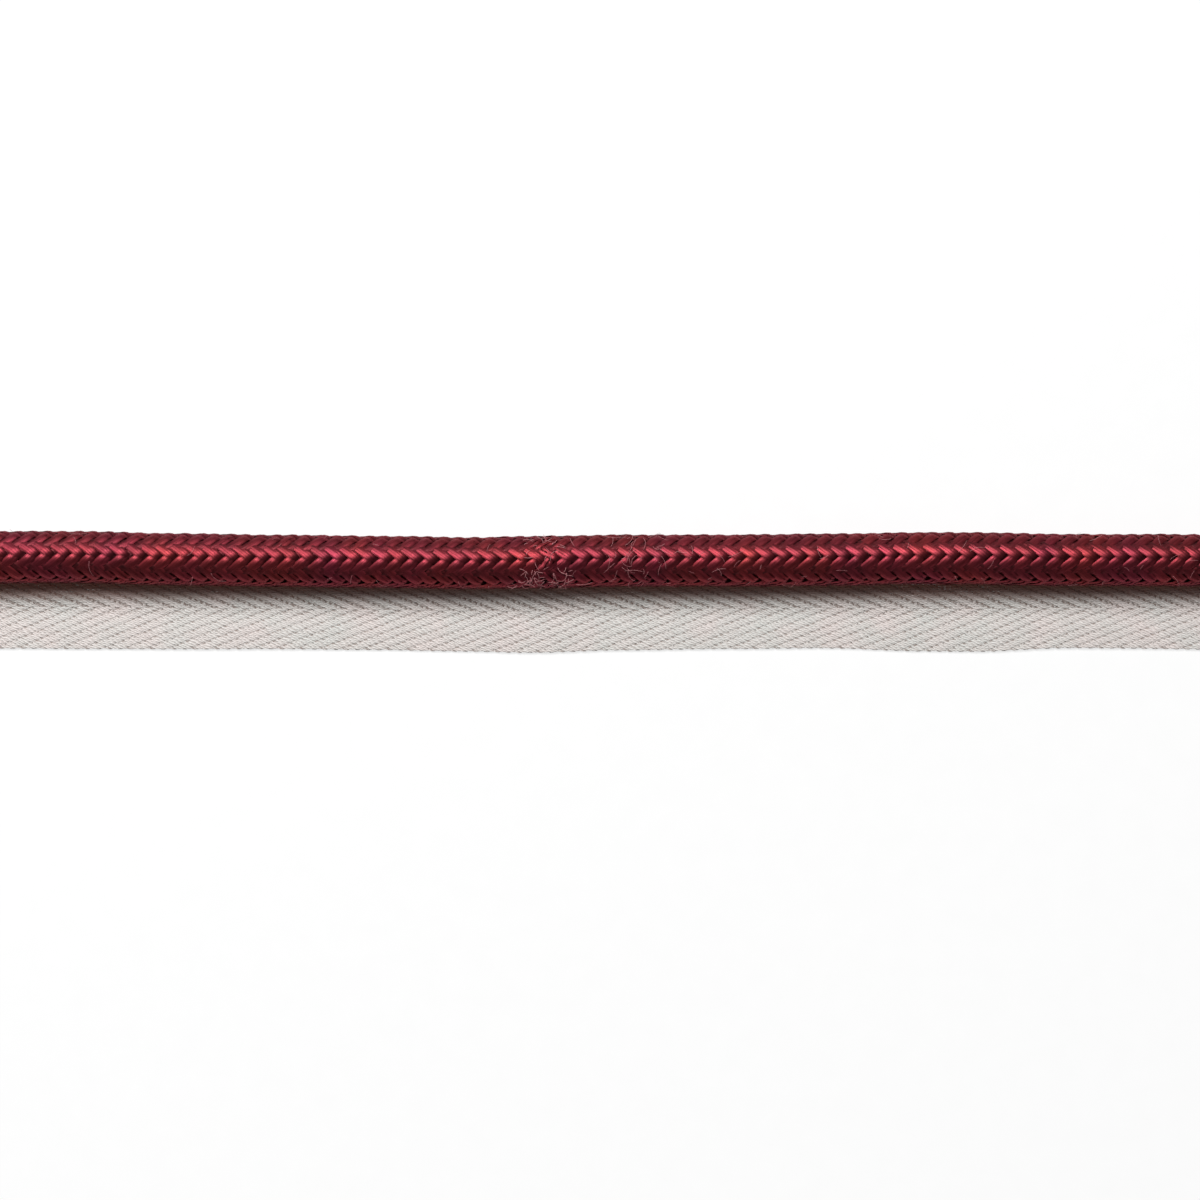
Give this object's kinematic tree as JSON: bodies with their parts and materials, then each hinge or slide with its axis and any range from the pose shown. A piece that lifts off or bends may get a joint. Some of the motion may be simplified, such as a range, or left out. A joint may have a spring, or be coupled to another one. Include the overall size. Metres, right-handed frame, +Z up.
{
  "type": "cut length of flanged piping trim",
  "caption": "Straight cut length of flanged piping: a round braided crimson cord with a pale grey herringbone tape sewn along one side as the sewing flange.",
  "frame": {"origin": "middle of the footprint, on the surface that the trim lies on", "axes": "+X along the trim, +Y from the tape towards the cord, +Z up off the surface"},
  "size_m": [0.16, 0.015, 0.0062],
  "materials": {
    "crimson_viscose": "braided silky viscose yarn, soft sheen",
    "grey_cotton": "matt herringbone-woven cotton tape"
  },
  "bodies": {
    "root": {"cord": "crimson_viscose", "tape": "grey_cotton"}
  },
  "joints": []
}
